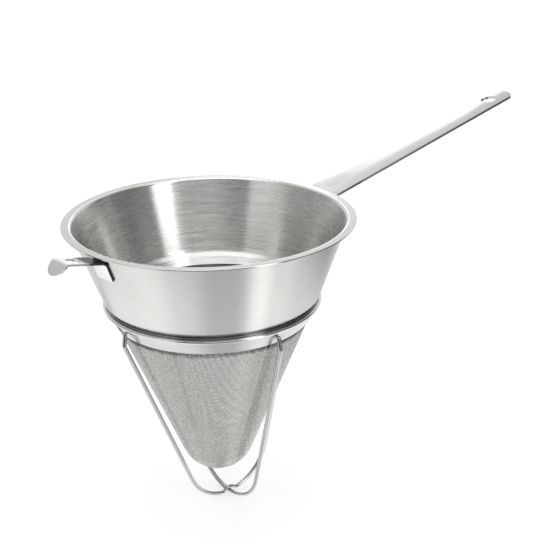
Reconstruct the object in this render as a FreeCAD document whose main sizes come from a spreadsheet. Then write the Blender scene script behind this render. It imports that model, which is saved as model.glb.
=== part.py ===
import FreeCAD, Part
import math
import os
import Sketcher
from FreeCAD import Vector

# Chinois strainer: a flanged bowl over a conical sieve, with a strap handle, a pot hook and a wire guard.
# The bowl's axis is Z, the rim's top plane is z = 0 and the handle points along +X.

DIMENSIONS = [
    ("rim_radius", 100.0, "outer radius of the flat rim"),
    ("sheet_thickness", 1.0, "sheet of the bowl"),
    ("rim_width", 5.4, "rim's edge in to the outside of the bowl wall, carried up to the rim plane"),
    ("bowl_bottom_radius", 75.5, "outside of the bowl wall where the shoulder starts"),
    ("bowl_depth", 53.75, "rim plane to the start of the shoulder"),
    ("shoulder_lean", 45.0, "shoulder's angle from the axis"),
    ("neck_height", 7.75, "start of the shoulder down to the lower edge of the bowl's neck"),
    ("rim_bend_radius", 2.5, "inside of the bend from wall to rim"),
    ("rim_edge_radius", 0.4, "rounding of the rim's outer edge"),
    ("shoulder_bend_radius", 1.5, "inside of the bends at both ends of the shoulder"),
    ("cone_angle", 22.0, "sieve's half angle"),
    ("collar_drop", 16.45, "start of the shoulder down to the collar's lower edge"),
    ("collar_height", 13.2, "height of the collar band"),
    ("collar_thickness", 0.6, "sheet of the collar"),
    ("mesh_thickness", 0.6, "woven cloth of the sieve"),
    ("mesh_tuck", 0.6, "collar's upper edge down to the cloth's upper edge"),
    ("mesh_tip_radius", 27.6, "outside of the sieve's rounded tip"),
    ("mesh_open_share", 0.7, "share of the sieve's grid that is open, along it and round it"),
    ("seat_clearance", 0.05, "gap between pieces that are welded together"),
    ("ring_wire", 2.6, "wire of the ring under the bowl"),
    ("ring_drop", 5.6, "start of the shoulder down to the ring's centre line"),
    ("ring_joint_gap", 1.8, "opening between the ring's ends"),
    ("ring_joint_recess", 0.25, "weld in the ring lies this much under the wire's surface"),
    ("ring_joint_turn", 230.6, "azimuth of the ring's joint"),
    ("guard_wire", 3.0, "wire of the guard loops"),
    ("guard_weld_rise", 4.9, "collar's lower edge up to the upper ends of the guard legs"),
    ("guard_bend_gap", 4.95, "collar's lower edge out to the bend of a guard leg"),
    ("guard_bend_drop", 4.2, "collar's lower edge down to the bend of a guard leg"),
    ("guard_bend_radius", 5.0, "centre line of the bend in a guard leg"),
    ("guard_tip_gap", 27.7, "sieve's tip down to the lowest centre line of the guard"),
    ("guard_bottom_radius", 36.3, "centre line of a loop's round bottom"),
    ("guard_shift", 9.0, "guard's bottom off the axis, towards the handle"),
    ("guard_turn", 2.4, "guard's turn from the handle about the axis"),
    ("hump_radius", 5.0, "centre line of the hump where one loop steps over the other"),
    ("handle_width", 28.7, "strap at the rim"),
    ("handle_end_width", 19.2, "strap at its end"),
    ("handle_thickness", 2.0, "strap sheet"),
    ("handle_rise", 13.2, "strap's angle above level"),
    ("handle_reach", 191.1, "rim edge to the strap's end, level"),
    ("handle_crown", 1.6, "strap's middle stands this much over its edges"),
    ("handle_rim_gap", 0.3, "rim's underside down to the strap"),
    ("handle_root", 4.0, "flat stretch of the strap beyond the rim"),
    ("handle_crown_run", 22.0, "stretch over which the strap takes up its crown"),
    ("handle_tab_depth", 32.0, "rim plane to the lower edge of the strap's tab"),
    ("handle_bend_radius", 2.0, "inside of the bend from strap to tab"),
    ("handle_corner_radius", 3.5, "corners of the strap's end"),
    ("handle_tab_corner_radius", 6.0, "lower corners of the strap's tab"),
    ("handle_hole", 12.1, "diameter of the hanging hole"),
    ("handle_hole_inset", 18.0, "hanging hole to the strap's end"),
    ("hook_width", 16.0, "hook strap"),
    ("hook_thickness", 1.8, "hook sheet"),
    ("hook_rise", 14.0, "hook arm's angle above level"),
    ("hook_arm_depth", 7.9, "rim plane to the arm's middle at the wall"),
    ("hook_reach", 28.6, "bowl wall to the hook's tip bend, level"),
    ("hook_lip", 10.2, "length of the turned down lip"),
    ("hook_lip_lean", 50.0, "lip's angle from the axis"),
    ("hook_tab_depth", 20.2, "rim plane to the lower edge of the hook's tab"),
    ("hook_bend_radius", 3.0, "inside of the bend from arm to tab"),
    ("hook_tip_bend_radius", 0.4, "inside of the bend from arm to lip"),
    ("hook_lip_radius", 8.4, "lip's round end"),
    ("hook_corner_radius", 1.5, "lower corners of the hook's tab"),
    ("hook_hole", 9.6, "diameter of the hole in the hook"),
    ("hook_hole_inset", 8.5, "hook's hole to its tip bend, level"),
    ("hook_turn", 187.0, "azimuth of the hook"),
    ("spot_width", 3.0, "diameter of a spot weld's button"),
    ("spot_height", 0.25, "height of a spot weld's button"),
    ("handle_spot_1_side", -9.8, "first spot weld to the handle's middle"),
    ("handle_spot_1_depth", 12.9, "rim plane to the handle's first spot weld"),
    ("handle_spot_2_side", 4.8, "second spot weld to the handle's middle"),
    ("handle_spot_2_depth", 15.0, "rim plane to the handle's second spot weld"),
    ("handle_spot_3_side", -2.4, "third spot weld to the handle's middle"),
    ("handle_spot_3_depth", 18.3, "rim plane to the handle's third spot weld"),
    ("handle_spot_4_side", 4.1, "fourth spot weld to the handle's middle"),
    ("handle_spot_4_depth", 24.9, "rim plane to the handle's fourth spot weld"),
    ("hook_spot_half_gap", 4.0, "spot welds of the hook to its middle"),
    ("hook_spot_depth", 15.0, "rim plane to the hook's spot welds"),
]

doc = FreeCAD.newDocument("chinois_strainer")
dims = doc.addObject("Spreadsheet::Sheet", "dims")
for row, (alias, size, note) in enumerate(DIMENSIONS, start=1):
    dims.set("A%d" % row, note)
    dims.set("B%d" % row, str(size))
    dims.setAlias("B%d" % row, alias)
doc.recompute()

# Edges this close, in mm, are the same edge.
SAME_PLACE = 0.001

# The sieve's grid: openings round the axis, and rows of them between the collar and the tip.
MESH_COLUMNS = 20
MESH_ROWS = 8

# Formulas in the sheet's own names, shared by pieces that touch one another.
CLEAR = "dims.seat_clearance"
SHEET = "dims.sheet_thickness"
WALL_TOP = "(dims.rim_radius - dims.rim_width)"
WALL_SLOPE = "((%s - dims.bowl_bottom_radius) / dims.bowl_depth)" % WALL_TOP
WALL_LEAN = "atan(%s)" % WALL_SLOPE
NECK_DEPTH = "(dims.bowl_depth + dims.neck_height)"
COLLAR_DEPTH = "(dims.bowl_depth + dims.collar_drop)"
RING_DEPTH = "(dims.bowl_depth + dims.ring_drop)"
MESH_HALF_OPEN = "sin(dims.mesh_open_share * 180 / %d)" % MESH_COLUMNS


def cone_radius(depth, offset="0"):
    """Radius at a depth on the cone of the collar's outer face, moved out by an offset square to it.

    The cone starts at the bowl wall's lower end.
    """
    drop = "(dims.bowl_depth - (%s)) * tan(dims.cone_angle)" % depth
    return "(dims.bowl_bottom_radius + %s + (%s) / cos(dims.cone_angle))" % (drop, offset)


def wall_radius(depth, offset="0"):
    """Radius at a depth on the bowl wall's outer face, moved out by an offset square to that face."""
    return "(%s - (%s) * %s + (%s) / cos(%s))" % (WALL_TOP, depth, WALL_SLOPE, offset, WALL_LEAN)


def number(formula):
    """Present value of a formula."""
    found = dims.evalExpression(formula)
    return float(getattr(found, "Value", found))


def point(x, y):
    """Present place of a point given by two formulas."""
    return Vector(number(x), number(y), 0)


def origin_plane(body, role):
    return [f for f in body.Origin.OriginFeatures if f.Role == role][0]


def new_body(label):
    body = doc.addObject("PartDesign::Body", label)
    body.Label = label
    return body


def new_sketch(body, name, role="XZ_Plane"):
    sketch = body.newObject("Sketcher::SketchObject", name)
    sketch.AttachmentSupport = [(origin_plane(body, role), "")]
    sketch.MapMode = "FlatFace"
    return sketch


def bind(sketch, kind, places, formula):
    """Dimension in a sketch that follows a formula."""
    index = sketch.addConstraint(Sketcher.Constraint(kind, *places, number(formula)))
    sketch.setExpression("Constraints[%d]" % index, formula)


def pin(sketch, geometry, end, x, y):
    """Place one end of a geometry by formulas."""
    bind(sketch, "DistanceX", (-1, 1, geometry, end), x)
    bind(sketch, "DistanceY", (-1, 1, geometry, end), y)


def draw_polygon(sketch, corners):
    """Closed outline of straight lines through corners given by formulas."""
    places = [point(x, y) for x, y in corners]
    ends = places[1:] + places[:1]
    lines = [sketch.addGeometry(Part.LineSegment(a, b)) for a, b in zip(places, ends)]
    for line, following in zip(lines, lines[1:] + lines[:1]):
        sketch.addConstraint(Sketcher.Constraint("Coincident", line, 2, following, 1))
    for line, corner in zip(lines, corners):
        pin(sketch, line, 1, *corner)


def draw_circle(sketch, x, y, diameter):
    sketch.addGeometry(Part.Circle(point(x, y), Vector(0, 0, 1), number(diameter) / 2))
    bind(sketch, "Diameter", (0,), diameter)
    pin(sketch, 0, 3, x, y)


def revolve(body, sketch, kind="PartDesign::Revolution"):
    turned = body.newObject(kind, body.Label + "_turned")
    turned.Profile = sketch
    turned.ReferenceAxis = (sketch, ["V_Axis"])
    turned.Angle = 360
    doc.recompute()
    return turned


def round_edges(body, radius, wanted):
    """Fillet of the edges that a test picks, with its radius by formula."""
    base = body.Tip
    names = ["Edge%d" % (i + 1) for i, edge in enumerate(base.Shape.Edges) if wanted(edge)]
    fillet = body.newObject("PartDesign::Fillet", body.Label + "_rounding")
    fillet.Base = (base, names)
    fillet.Radius = number(radius)
    fillet.setExpression("Radius", radius)
    doc.recompute()
    return fillet


def is_near(a, b):
    """Same place, within what counts as no distance between modelled edges."""
    return abs(a - b) < SAME_PLACE


def circle_at(radius, depth):
    """Test for a level circular edge about the axis."""
    def wanted(edge):
        curve = edge.Curve
        if not isinstance(curve, Part.Circle):
            return False
        return is_near(curve.Radius, number(radius)) and is_near(curve.Center.z, -number(depth))
    return wanted


def offset_corner(x, depth, lean_above, lean_below):
    """Corner of the bowl's inner face inside a corner of its outer face."""
    reach = "%s / cos((%s - %s) / 2)" % (SHEET, lean_above, lean_below)
    middle = "((%s + %s) / 2)" % (lean_above, lean_below)
    return "%s - %s * cos%s" % (x, reach, middle), "-(%s) + %s * sin%s" % (depth, reach, middle)


def build_bowl():
    shoulder = "(dims.shoulder_lean * 1deg)"
    cone = "(dims.cone_angle * 1deg)"
    under_cloth = "-(dims.collar_thickness + dims.mesh_thickness + 2 * %s)" % CLEAR
    neck_at_rim = cone_radius("0", under_cloth)
    shoulder_run = "tan(dims.shoulder_lean)"
    rise = "(dims.bowl_bottom_radius + dims.bowl_depth * %s - %s)" % (shoulder_run, neck_at_rim)
    neck_start = "(%s / (%s - tan(dims.cone_angle)))" % (rise, shoulder_run)
    neck_top = cone_radius(neck_start, under_cloth)
    neck_foot = cone_radius(NECK_DEPTH, under_cloth)
    inner_bottom = offset_corner("dims.bowl_bottom_radius", "dims.bowl_depth", WALL_LEAN, shoulder)
    inner_neck = offset_corner(neck_top, neck_start, shoulder, cone)
    inner_foot = offset_corner(neck_foot, NECK_DEPTH, cone, cone)
    inner_top = wall_radius("0", "-" + SHEET)

    body = new_body("bowl")
    profile = new_sketch(body, "bowl_profile")
    draw_polygon(profile, [
        ("dims.rim_radius", "0"),
        ("dims.rim_radius", "-" + SHEET),
        (wall_radius(SHEET), "-" + SHEET),
        ("dims.bowl_bottom_radius", "-dims.bowl_depth"),
        (neck_top, "-" + neck_start),
        (neck_foot, "-" + NECK_DEPTH),
        inner_foot,
        inner_neck,
        inner_bottom,
        (inner_top, "0"),
    ])
    revolve(body, profile)
    outer_bend = "dims.shoulder_bend_radius + " + SHEET
    round_edges(body, "dims.rim_bend_radius", circle_at(inner_top, "0"))
    round_edges(body, "dims.rim_bend_radius - " + SHEET, circle_at(wall_radius(SHEET), SHEET))
    round_edges(body, outer_bend, circle_at("dims.bowl_bottom_radius", "dims.bowl_depth"))
    round_edges(body, "dims.shoulder_bend_radius", circle_at(inner_bottom[0], "-(%s)" % inner_bottom[1]))
    round_edges(body, "dims.rim_edge_radius", circle_at("dims.rim_radius", "0"))
    round_edges(body, "dims.rim_edge_radius", circle_at("dims.rim_radius", SHEET))
    return body


def build_collar():
    top = "(%s - dims.collar_height)" % COLLAR_DEPTH
    inside = "-dims.collar_thickness"
    body = new_body("mesh_collar")
    profile = new_sketch(body, "collar_profile")
    draw_polygon(profile, [
        (cone_radius(top), "-" + top),
        (cone_radius(COLLAR_DEPTH), "-" + COLLAR_DEPTH),
        (cone_radius(COLLAR_DEPTH, inside), "-" + COLLAR_DEPTH),
        (cone_radius(top, inside), "-" + top),
    ])
    revolve(body, profile)
    return body


CLOTH_OUTSIDE = "-(dims.collar_thickness + %s)" % CLEAR
CLOTH_APEX = "(%s / tan(dims.cone_angle))" % cone_radius("0", CLOTH_OUTSIDE)
TIP_CENTRE = "(%s - dims.mesh_tip_radius / sin(dims.cone_angle))" % CLOTH_APEX


def cut_mesh_rows(body):
    """Column of openings between collar and tip, cut square to the cone."""
    inset = "(3 * dims.mesh_thickness)"
    apex_level = "%s * sin(dims.cone_angle) - %s" % (inset, CLOTH_APEX)
    base = "vector(0; %s; -%s * cos(dims.cone_angle))" % (apex_level, inset)
    column = new_sketch(body, "mesh_openings", "YZ_Plane")
    column.setExpression(
        "AttachmentOffset", "placement(%s; rotation(0deg; 0deg; dims.cone_angle * 1deg))" % base)
    doc.recompute()
    tip_slant = "dims.mesh_tip_radius / tan(dims.cone_angle)"
    collar_slant = "(%s - %s) / cos(dims.cone_angle)" % (CLOTH_APEX, COLLAR_DEPTH)
    pitch = "((%s - %s) / %d)" % (collar_slant, tip_slant, MESH_ROWS)
    for row in range(MESH_ROWS):
        middle = "(%s + %s * %.1f)" % (tip_slant, pitch, row + 0.5)
        low = "(%s - %s * dims.mesh_open_share / 2)" % (middle, pitch)
        high = "(%s + %s * dims.mesh_open_share / 2)" % (middle, pitch)
        low_half = "(%s * sin(dims.cone_angle) * %s)" % (low, MESH_HALF_OPEN)
        high_half = "(%s * sin(dims.cone_angle) * %s)" % (high, MESH_HALF_OPEN)
        draw_polygon(column, [
            (low_half, low),
            (high_half, high),
            ("-" + high_half, high),
            ("-" + low_half, low),
        ])
    return pocket_through(body, column, "mesh_column", "One side")


def cut_mesh_tip(body):
    """Opening in the round tip, cut straight down."""
    span = "(90 - dims.cone_angle)"
    near = "(dims.mesh_tip_radius * sin(%s * (1 - dims.mesh_open_share)))" % span
    far = "(dims.mesh_tip_radius * sin(%s * (1 + dims.mesh_open_share) / 2))" % span
    near_half = "(%s * %s)" % (near, MESH_HALF_OPEN)
    far_half = "(%s * %s)" % (far, MESH_HALF_OPEN)
    opening = new_sketch(body, "mesh_tip_opening", "XY_Plane")
    opening.setExpression(
        "AttachmentOffset", "placement(vector(0; 0; -%s); rotation(0deg; 0deg; 180deg))" % TIP_CENTRE)
    doc.recompute()
    draw_polygon(opening, [
        (near, near_half),
        (far, far_half),
        (far, "-" + far_half),
        (near, "-" + near_half),
    ])
    return pocket_through(body, opening, "mesh_tip_column", "One side")


def cut_mesh_grid(body, axis):
    """Plain grid of openings for the weave: one column of them, repeated round the axis."""
    columns = [cut_mesh_rows(body), cut_mesh_tip(body)]
    grid = body.newObject("PartDesign::PolarPattern", "mesh_grid")
    grid.Originals = columns
    grid.Axis = axis
    grid.Angle = 360
    grid.Occurrences = MESH_COLUMNS
    body.Tip = grid
    doc.recompute()


def build_mesh_cone():
    """Cloth as a thin shell with a coarse grid of openings: a cone that runs into a round tip."""
    top = "(%s - dims.collar_height + dims.mesh_tuck)" % COLLAR_DEPTH
    inside = "(%s - dims.mesh_thickness)" % CLOTH_OUTSIDE
    inner_tip = "(dims.mesh_tip_radius - dims.mesh_thickness)"
    centre_place = point("0", "-" + TIP_CENTRE)

    def tip_arc(radius):
        lean = number("dims.cone_angle")
        return Part.ArcOfCircle(
            Part.Circle(centre_place, Vector(0, 0, 1), number(radius)),
            math.radians(-90),
            math.radians(-lean),
        )

    body = new_body("mesh_cone")
    profile = new_sketch(body, "mesh_profile")
    outer_arc = tip_arc("dims.mesh_tip_radius")
    inner_arc = tip_arc(inner_tip)
    outer_top = point(cone_radius(top, CLOTH_OUTSIDE), "-" + top)
    inner_top = point(cone_radius(top, inside), "-" + top)
    profile.addGeometry([
        Part.LineSegment(outer_top, outer_arc.EndPoint),
        outer_arc,
        Part.LineSegment(outer_arc.StartPoint, inner_arc.StartPoint),
        inner_arc,
        Part.LineSegment(inner_arc.EndPoint, inner_top),
        Part.LineSegment(inner_top, outer_top),
    ])
    profile.addConstraint([
        Sketcher.Constraint("Tangent", 0, 2, 1, 2),
        Sketcher.Constraint("Coincident", 1, 1, 2, 1),
        Sketcher.Constraint("Coincident", 2, 2, 3, 1),
        Sketcher.Constraint("Tangent", 3, 2, 4, 1),
        Sketcher.Constraint("Coincident", 4, 2, 5, 1),
        Sketcher.Constraint("Coincident", 5, 2, 0, 1),
        Sketcher.Constraint("Coincident", 1, 3, 3, 3),
        Sketcher.Constraint("PointOnObject", 1, 1, -2),
        Sketcher.Constraint("PointOnObject", 3, 1, -2),
    ])
    pin(profile, 1, 3, "0", "-" + TIP_CENTRE)
    bind(profile, "Radius", (1,), "dims.mesh_tip_radius")
    bind(profile, "Radius", (3,), inner_tip)
    bind(profile, "DistanceY", (-1, 1, 0, 1), "-" + top)
    bind(profile, "DistanceY", (-1, 1, 5, 1), "-" + top)
    revolve(body, profile)
    cut_mesh_grid(body, (profile, ["V_Axis"]))
    return body


RING_RADIUS = cone_radius(RING_DEPTH, "dims.ring_wire / 2 + " + CLEAR)


def build_ring_arc(label, wire_radius, length, start):
    """Part of the ring: its wire's radius, its length along the centre line and its start's azimuth."""
    ring = doc.addObject("Part::Torus", label)
    ring.Label = label
    ring.setExpression("Radius1", RING_RADIUS)
    ring.setExpression("Radius2", wire_radius)
    ring.setExpression("Angle3", "(%s) / %s * 180 / pi" % (length, RING_RADIUS))
    turn = "rotation((%s) * 1deg; 0deg; 0deg)" % start
    ring.setExpression("Placement", "placement(vector(0; 0; -%s); %s)" % (RING_DEPTH, turn))
    return ring


def build_seat_ring():
    half_gap = "(dims.ring_joint_gap / 2 / %s * 180 / pi)" % RING_RADIUS
    length = "2 * pi * %s - dims.ring_joint_gap" % RING_RADIUS
    return build_ring_arc("seat_ring", "dims.ring_wire / 2", length, "dims.ring_joint_turn + " + half_gap)


def build_ring_joint():
    length = "dims.ring_joint_gap - 2 * " + CLEAR
    half = "((%s) / 2 / %s * 180 / pi)" % (length, RING_RADIUS)
    wire_radius = "dims.ring_wire / 2 - dims.ring_joint_recess"
    return build_ring_arc("ring_joint_weld", wire_radius, length, "dims.ring_joint_turn - " + half)


LEG_TOP = cone_radius("(%s - dims.guard_weld_rise)" % COLLAR_DEPTH, "dims.guard_wire / 2 + " + CLEAR)
LEG_RISE = "(dims.guard_weld_rise + dims.guard_bend_drop)"
BEND_DEPTH = "(%s + dims.guard_bend_drop)" % COLLAR_DEPTH
BEND_SPREAD = "(%s + dims.guard_bend_gap)" % cone_radius(COLLAR_DEPTH)
GUARD_DROP = "(%s + dims.mesh_tip_radius + dims.guard_tip_gap - %s)" % (TIP_CENTRE, BEND_DEPTH)
GUARD_TILT = "atan(dims.guard_shift / %s)" % GUARD_DROP
HUMP_RISE = "(dims.guard_wire + %s)" % CLEAR


def arc_between(centre, start, end):
    """Anticlockwise arc about a centre from one place to another."""
    circle = Part.Circle(centre, Vector(0, 0, 1), (start - centre).Length)
    first = math.atan2(start.y - centre.y, start.x - centre.x)
    last = math.atan2(end.y - centre.y, end.x - centre.x)
    return Part.ArcOfCircle(circle, first, last if last > first else last + 2 * math.pi)


def touch_point(place, centre, radius, side):
    """Where a line from a place touches a circle, on the side given as -1 or 1."""
    away = place - centre
    turn = math.atan2(away.y, away.x) + side * math.acos(radius / away.Length)
    return centre + Vector(math.cos(turn), math.sin(turn), 0) * radius


def corner_arc(before, corner, after, radius):
    """Anticlockwise arc that rounds a corner between two places."""
    to_before = (before - corner).normalize()
    to_after = (after - corner).normalize()
    half = to_before.getAngle(to_after) / 2
    centre = corner + (to_before + to_after).normalize() * (radius / math.sin(half))
    reach = radius / math.tan(half)
    return arc_between(centre, corner + to_before * reach, corner + to_after * reach)


def hump_arcs(centre, radius, left, right):
    """Round bottom whose middle steps up: bottom, knee, crest, knee and bottom arcs from left to right."""
    small = number("dims.hump_radius")
    crest_centre = centre - Vector(0, radius - number(HUMP_RISE) + small, 0)
    span = centre.y - crest_centre.y
    outer_arm = radius - small
    inner_arm = 2 * small
    turn = math.acos((outer_arm ** 2 + span ** 2 - inner_arm ** 2) / (2 * outer_arm * span))
    left_way = Vector(-math.sin(turn), -math.cos(turn), 0)
    right_way = Vector(math.sin(turn), -math.cos(turn), 0)
    left_knee = centre + left_way * outer_arm
    right_knee = centre + right_way * outer_arm
    left_step = (left_knee + crest_centre) * 0.5
    right_step = (right_knee + crest_centre) * 0.5
    return [
        arc_between(centre, left, centre + left_way * radius),
        arc_between(left_knee, centre + left_way * radius, left_step),
        arc_between(crest_centre, right_step, left_step),
        arc_between(right_knee, right_step, centre + right_way * radius),
        arc_between(centre, centre + right_way * radius, right),
    ]


def draw_loop(spine, bottom_x, bottom_drop, has_hump):
    """Centre line of a guard loop, from its left leg's upper end to its right leg's."""
    radius = number("dims.guard_bottom_radius")
    bend_radius = number("dims.guard_bend_radius")
    centre_y = "(dims.guard_bottom_radius - %s)" % bottom_drop
    centre = point(bottom_x, centre_y)
    left_top = point("-" + LEG_TOP, LEG_RISE)
    right_top = point(LEG_TOP, LEG_RISE)
    left_corner = point("-" + BEND_SPREAD, "0")
    right_corner = point(BEND_SPREAD, "0")
    left = touch_point(left_corner, centre, radius, 1)
    right = touch_point(right_corner, centre, radius, -1)
    left_bend = corner_arc(left_top, left_corner, left, bend_radius)
    right_bend = corner_arc(right, right_corner, right_top, bend_radius)
    bottom = hump_arcs(centre, radius, left, right) if has_hump else [arc_between(centre, left, right)]
    left_leg = [
        Part.LineSegment(left_top, left_bend.StartPoint),
        left_bend,
        Part.LineSegment(left_bend.EndPoint, left),
    ]
    right_leg = [
        Part.LineSegment(right, right_bend.StartPoint),
        right_bend,
        Part.LineSegment(right_bend.EndPoint, right_top),
    ]
    chain = left_leg + bottom + right_leg
    first_bottom = len(left_leg)
    first_right = first_bottom + len(bottom)
    last_bottom = first_right - 1
    last = len(chain) - 1
    crest = first_bottom + len(bottom) // 2 if has_hump else None
    spine.addGeometry(chain)
    for i in range(last):
        leaving = 1 if i == crest else 2
        entering = 2 if i + 1 == crest else 1
        spine.addConstraint(Sketcher.Constraint("Tangent", i, leaving, i + 1, entering))
    pin(spine, 0, 1, "-" + LEG_TOP, LEG_RISE)
    pin(spine, last, 2, LEG_TOP, LEG_RISE)
    for corner, x, upper, lower in (
        (left_corner, "-" + BEND_SPREAD, 0, first_bottom - 1),
        (right_corner, BEND_SPREAD, last, first_right),
    ):
        mark = spine.addGeometry(Part.Point(corner), True)
        pin(spine, mark, 1, x, "0")
        spine.addConstraint(Sketcher.Constraint("PointOnObject", mark, 1, upper))
        spine.addConstraint(Sketcher.Constraint("PointOnObject", mark, 1, lower))
    for bend in (1, last - 1):
        bind(spine, "Radius", (bend,), "dims.guard_bend_radius")
    pin(spine, first_bottom, 3, bottom_x, centre_y)
    bind(spine, "Radius", (first_bottom,), "dims.guard_bottom_radius")
    if has_hump:
        spine.addConstraint(Sketcher.Constraint("Coincident", first_bottom, 3, last_bottom, 3))
        bind(spine, "Radius", (last_bottom,), "dims.guard_bottom_radius")
        for small in (crest - 1, crest, crest + 1):
            bind(spine, "Radius", (small,), "dims.hump_radius")
        pin(spine, crest, 3, bottom_x, "%s - dims.hump_radius - %s" % (HUMP_RISE, bottom_drop))


def build_guard_loop(label, bottom_x, bottom_drop, has_hump, rotation):
    """Wire loop drawn in its own plane, with its origin between its two bends."""
    body = new_body(label)
    spine = new_sketch(body, label + "_spine")
    draw_loop(spine, bottom_x, bottom_drop, has_hump)
    doc.recompute()
    wire = body.newObject("Sketcher::SketchObject", label + "_wire")
    wire.AttachmentSupport = [(spine, "Edge1")]
    wire.MapMode = "NormalToEdge"
    draw_circle(wire, "0", "0", "dims.guard_wire")
    pipe = body.newObject("PartDesign::AdditivePipe", label + "_pipe")
    pipe.Profile = wire
    pipe.Spine = spine
    body.setExpression("Placement", "placement(vector(0; 0; -%s); %s)" % (BEND_DEPTH, rotation))
    doc.recompute()
    return body


OVER_TURN = "rotation(dims.guard_turn * 1deg; 0deg; 0deg)"
UNDER_TURN = "rotation(dims.guard_turn * 1deg + 90deg; 0deg; -%s)" % GUARD_TILT


def group(label, pieces):
    """Several like pieces under one name."""
    compound = doc.addObject("Part::Compound", label)
    compound.Label = label
    compound.Links = pieces
    doc.recompute()
    return compound


def build_leg_welds():
    """Round beads that close the upper ends of the guard legs against the collar."""
    beads = []
    lean = "atan((%s - %s) / %s)" % (BEND_SPREAD, LEG_TOP, LEG_RISE)
    for loop in ("guard_loop_over", "guard_loop_under"):
        for side, sign in (("left", "-"), ("right", "")):
            bead = doc.addObject("Part::Sphere", "%s_%s_bead" % (loop, side))
            pitch = lean if side == "left" else "-" + lean
            place = "vector(%s%s; 0; %s)" % (sign, LEG_TOP, LEG_RISE)
            turned = "placement(%s; rotation(0deg; %s; 0deg))" % (place, pitch)
            bead.setExpression("Radius", "dims.guard_wire / 2")
            bead.Angle1 = 0
            bead.setExpression("Placement", "%s.Placement * %s" % (loop, turned))
            beads.append(bead)
    return group("guard_leg_welds", beads)


def spot_weld(name, turn, side, depth):
    """Low button on the bowl's inner wall, a distance to the side of a middle azimuth."""
    dome = "((dims.spot_width ^ 2 / 4 + dims.spot_height ^ 2) / (2 * dims.spot_height))"
    radius = wall_radius(depth, "-" + SHEET)
    azimuth = "(%s * 1deg + asin((%s) / %s))" % (turn, side, radius)
    sink = "(%s - %s + dims.spot_height)" % (CLEAR, dome)
    level = "(%s - %s * cos(%s))" % (radius, sink, WALL_LEAN)
    place = "vector(cos(%s) * %s; sin(%s) * %s; %s * sin(%s) - (%s))" % (
        azimuth, level, azimuth, level, sink, WALL_LEAN, depth)
    button = doc.addObject("Part::Sphere", name)
    button.setExpression("Radius", dome)
    button.setExpression("Angle1", "asin(1 - dims.spot_height / %s)" % dome)
    button.setExpression("Placement", "placement(%s; rotation(%s + 180deg; 90deg - %s; 0deg))" % (
        place, azimuth, WALL_LEAN))
    return button


def build_handle_welds():
    """Four spot welds, set by hand, that hold the handle's tab."""
    spots = [
        spot_weld("handle_spot_%d" % i, "0", "dims.handle_spot_%d_side" % i, "dims.handle_spot_%d_depth" % i)
        for i in (1, 2, 3, 4)
    ]
    return group("handle_spot_welds", spots)


def build_hook_welds():
    """Two spot welds that hold the hook's tab."""
    spots = [
        spot_weld("hook_spot_" + name, "dims.hook_turn", side, "dims.hook_spot_depth")
        for name, side in (("left", "dims.hook_spot_half_gap"), ("right", "-dims.hook_spot_half_gap"))
    ]
    return group("hook_spot_welds", spots)


def meet(x0, z0, slope, x1, lean):
    """Where the line through (x0, z0) with a slope meets the line x = x1 + lean * z."""
    z = "((%s + (%s - (%s)) * %s) / (1 - %s * %s))" % (z0, x1, x0, slope, lean, slope)
    return "(%s + %s * %s)" % (x1, lean, z), z


def wall_line(offset):
    """Line of the bowl wall's outer face moved out by an offset, as meet() takes it."""
    return wall_radius("0", offset), WALL_SLOPE


def pad_across(body, sketch, width):
    """Strap cut from a side view, with its middle on the sketch's plane."""
    pad = body.newObject("PartDesign::Pad", body.Label + "_strap")
    pad.Profile = sketch
    pad.SideType = "Symmetric"
    pad.setExpression("Length", width)
    doc.recompute()
    return pad


def fit_to_wall(body):
    """Cut away what a strap's tab would have inside the bowl's round wall."""
    profile = new_sketch(body, body.Label + "_wall")
    draw_polygon(profile, [
        ("0", "0"),
        (wall_radius("0", CLEAR), "0"),
        (wall_radius("dims.bowl_depth", CLEAR), "-dims.bowl_depth"),
        ("0", "-dims.bowl_depth"),
    ])
    return revolve(body, profile, "PartDesign::Groove")


def pocket_through(body, sketch, name, side):
    """Cut a sketch's outline through the body: on both sides, or only where the sketch's normal points."""
    before = body.Shape.Volume
    pocket = body.newObject("PartDesign::Pocket", name)
    pocket.Profile = sketch
    pocket.Type = "ThroughAll"
    pocket.SideType = side
    pocket.Reversed = True
    doc.recompute()
    if body.Shape.Volume >= before:
        raise RuntimeError("%s cuts nothing" % name)
    return pocket


def round_tab(body, width, foot, radius):
    """Trim the lower corners of a strap's tab to arcs."""
    half = "(%s / 2)" % width
    near = "(%s - %s)" % (half, radius)
    far = "(%s + %s)" % (half, radius)
    low = "(%s - %s)" % (foot, radius)
    high = "(%s + %s)" % (foot, radius)
    waste = new_sketch(body, body.Label + "_tab_waste", "YZ_Plane")
    for sign in ("", "-"):
        outline = ((near, foot), (near, low), (far, low), (far, high), (half, high))
        corners = [(sign + y, z) for y, z in outline]
        places = [point(*c) for c in corners]
        lines = [waste.addGeometry(Part.LineSegment(a, b)) for a, b in zip(places, places[1:])]
        ends = (places[-1], places[0]) if sign else (places[0], places[-1])
        arc = waste.addGeometry(arc_between(point(sign + near, high), *ends))
        for before, after in zip(lines, lines[1:]):
            waste.addConstraint(Sketcher.Constraint("Coincident", before, 2, after, 1))
        waste.addConstraint(Sketcher.Constraint("Coincident", lines[0], 1, arc, 2 if sign else 1))
        waste.addConstraint(Sketcher.Constraint("Coincident", lines[-1], 2, arc, 1 if sign else 2))
        for line, corner in zip(lines, corners):
            pin(waste, line, 1, *corner)
        pin(waste, lines[-1], 2, *corners[-1])
        bind(waste, "Radius", (arc,), radius)
    return pocket_through(body, waste, body.Label + "_tab_corners", "One side")


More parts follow.
